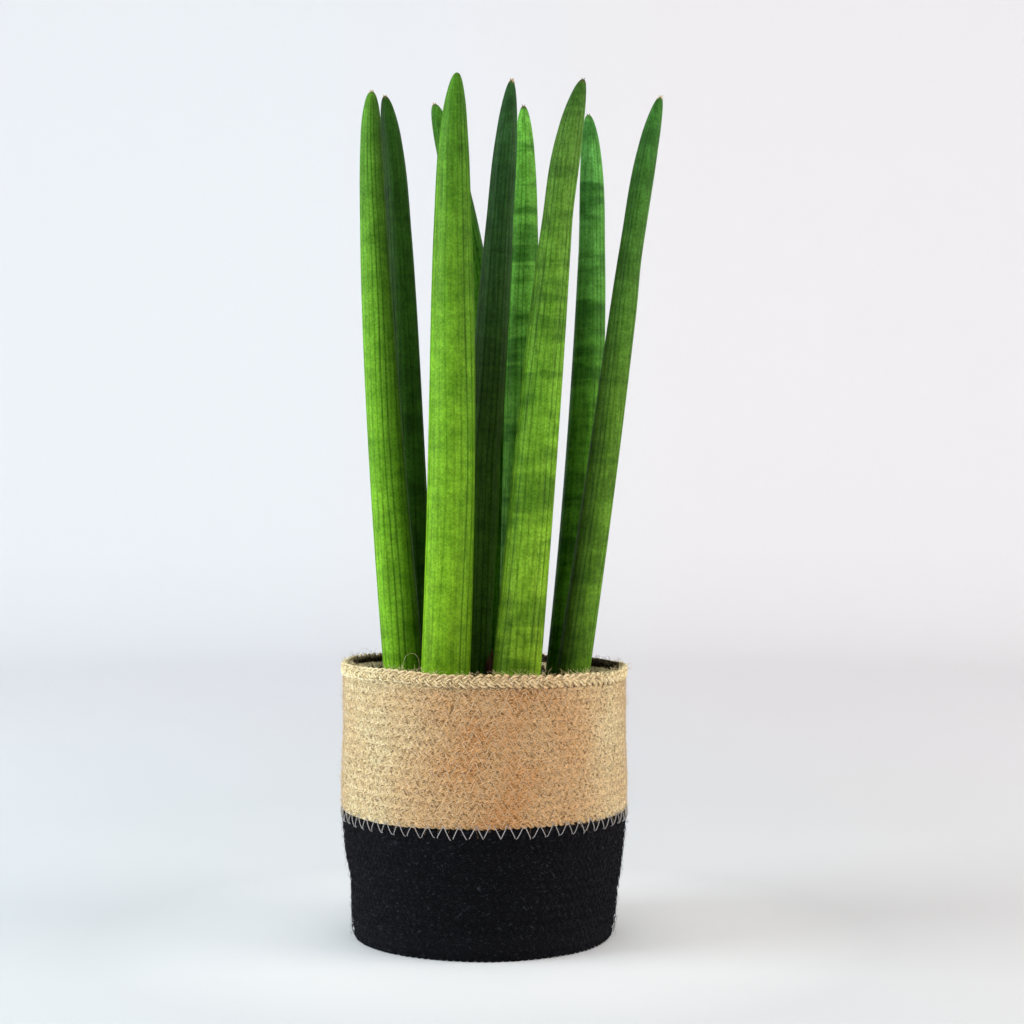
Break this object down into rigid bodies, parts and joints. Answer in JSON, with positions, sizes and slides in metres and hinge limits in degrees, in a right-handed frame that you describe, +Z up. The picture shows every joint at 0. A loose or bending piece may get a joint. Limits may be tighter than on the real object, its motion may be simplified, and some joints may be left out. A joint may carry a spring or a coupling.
{
  "type": "potted snake plant",
  "caption": "Potted snake plant: tall round upright leaves in soil in a nursery pot, standing in a two-tone sewn jute basket planter.",
  "frame": {"origin": "centre of the basket's flat underside, on the surface it stands on", "axes": "+Z up along the leaves; -Y is the front, the side with the broad leaves leaf_3 and leaf_7; +X is to the right seen from the front"},
  "size_m": [0.1671, 0.1506, 0.4483],
  "materials": {
    "navy_jute": "matte",
    "natural_jute": "matte",
    "rim_jute": "matte",
    "pale_thread": "matte",
    "pot_plastic": "satin",
    "potting_soil": "matte",
    "dry_husk": "matte",
    "leaf_skin": "satin"
  },
  "bodies": {
    "root": {"basket_lower_band": "navy_jute", "basket_upper_band": "natural_jute", "rim_plait": "rim_jute", "seam_thread": "pale_thread", "nursery_pot": "pot_plastic", "soil": "potting_soil", "dry_sheath": "dry_husk", "leaf_1": "leaf_skin", "leaf_2": "leaf_skin", "leaf_3": "leaf_skin", "leaf_4": "leaf_skin", "leaf_5": "leaf_skin", "leaf_6": "leaf_skin", "leaf_7": "leaf_skin", "leaf_8": "leaf_skin", "leaf_9": "leaf_skin"}
  },
  "joints": []
}
